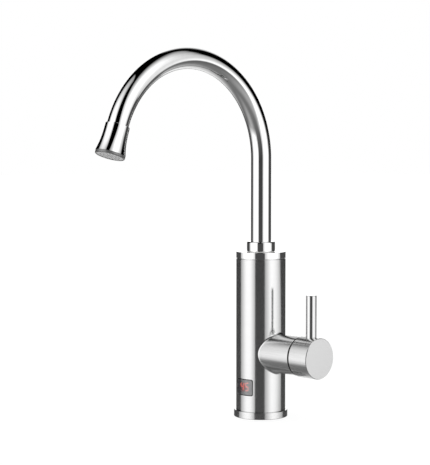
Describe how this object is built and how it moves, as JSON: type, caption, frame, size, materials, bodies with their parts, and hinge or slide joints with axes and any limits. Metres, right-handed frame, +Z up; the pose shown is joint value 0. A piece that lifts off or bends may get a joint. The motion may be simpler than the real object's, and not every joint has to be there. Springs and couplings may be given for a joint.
{
  "type": "electric instant water heater tap",
  "caption": "Deck-mounted kitchen tap that heats water as it flows: upright tube body with a display window, a side lever valve and a swivelling gooseneck spout.",
  "frame": {"origin": "centre of the base on the deck, on the axis of the threaded inlet", "axes": "+Z up along the body and the inlet, -Y towards the spout's outlet and the display at rest, +X along the lever valve"},
  "size_m": [0.1102, 0.2438, 0.3764],
  "materials": {
    "satin_steel": "fine polished stainless steel, slightly satin",
    "bright_steel": "mirror polished stainless steel",
    "black_rubber": "matte",
    "brass": "machined",
    "screw_steel": "zinc plated",
    "black_plastic": "moulded",
    "white_plastic": "moulded",
    "smoked_lens": "smoked, glossy",
    "led_red": "lit segments behind the lens",
    "board_green": "solder mask",
    "relay_blue": "moulded",
    "ceramic_white": "lapped",
    "magnet_grey": "sintered ferrite",
    "reed_glass": "clear",
    "lead_red": "silicone insulation",
    "outlet_grey": "grey satin plating",
    "screen_steel": "satin"
  },
  "bodies": {
    "root": {"deck_gasket": "black_rubber", "base_flange": "satin_steel", "base_plate": "brass", "cable_gland": "black_rubber", "base_screws": "screw_steel", "chassis_rails": "black_plastic", "body_shell": "satin_steel", "display_window": "smoked_lens", "window_seal_frame": "black_rubber", "display_carrier": "black_plastic", "display_board": "board_green", "display_digits": "led_red", "power_board": "board_green", "relay": "relay_blue", "triac": "black_plastic", "flow_housing": "white_plastic", "flow_cap": "white_plastic", "float_spring": "screw_steel", "reed_switch": "reed_glass", "valve_body": "brass", "valve_o_ring": "black_rubber", "branch_sleeve": "satin_steel", "clamp_nut": "brass", "cartridge_body": "brass", "seat_seal": "black_rubber", "fixed_ceramic_disc": "ceramic_white", "knob_seal": "black_rubber", "spacer_ring": "black_plastic", "heater_inlet_pipe": "screw_steel", "heater_chamber": "white_plastic", "chamber_lid": "white_plastic", "chamber_o_ring": "black_rubber", "heating_element": "screw_steel", "heater_terminals": "brass", "heater_leads": "lead_red", "thermal_cutout": "black_plastic", "ntc_sensor": "screw_steel", "swivel_socket": "brass", "top_cap": "satin_steel", "cap_ring": "satin_steel", "collar_gasket": "white_plastic", "collar_nut": "bright_steel", "lower_slip_washer": "white_plastic", "upper_slip_washer": "white_plastic"},
    "spout": {"spout_ferrule": "brass", "spout_o_rings": "black_rubber", "spout_tube": "bright_steel", "nozzle_shell": "bright_steel", "nozzle_gasket": "black_rubber", "flow_straightener": "white_plastic", "outlet_ring": "outlet_grey", "outlet_screen": "screen_steel"},
    "handle": {"handle_knob": "satin_steel", "lever_pin": "bright_steel", "knob_grub_screw": "screw_steel", "cartridge_spindle": "brass", "spindle_o_ring": "black_rubber", "moving_ceramic_disc": "ceramic_white"},
    "float": {"flow_float": "magnet_grey"}
  },
  "joints": [
    {"name": "spout_swivel", "type": "hinge", "parent": "root", "child": "spout", "pos_m": [0, 0, 0.178], "axis": [0, 0, 1], "continuous": true},
    {"name": "handle_turn", "type": "hinge", "parent": "root", "child": "handle", "pos_m": [0.0707, 0, 0.0675], "axis": [1, 0, 0], "range_deg": [-90, 90]},
    {"name": "float_lift", "type": "slide", "parent": "root", "child": "float", "axis": [0, 0, 1], "range_m": [0, 0.004], "stiffness_N_per_m": 40, "springref_m": -0.003, "deforming": ["float_spring"]}
  ]
}
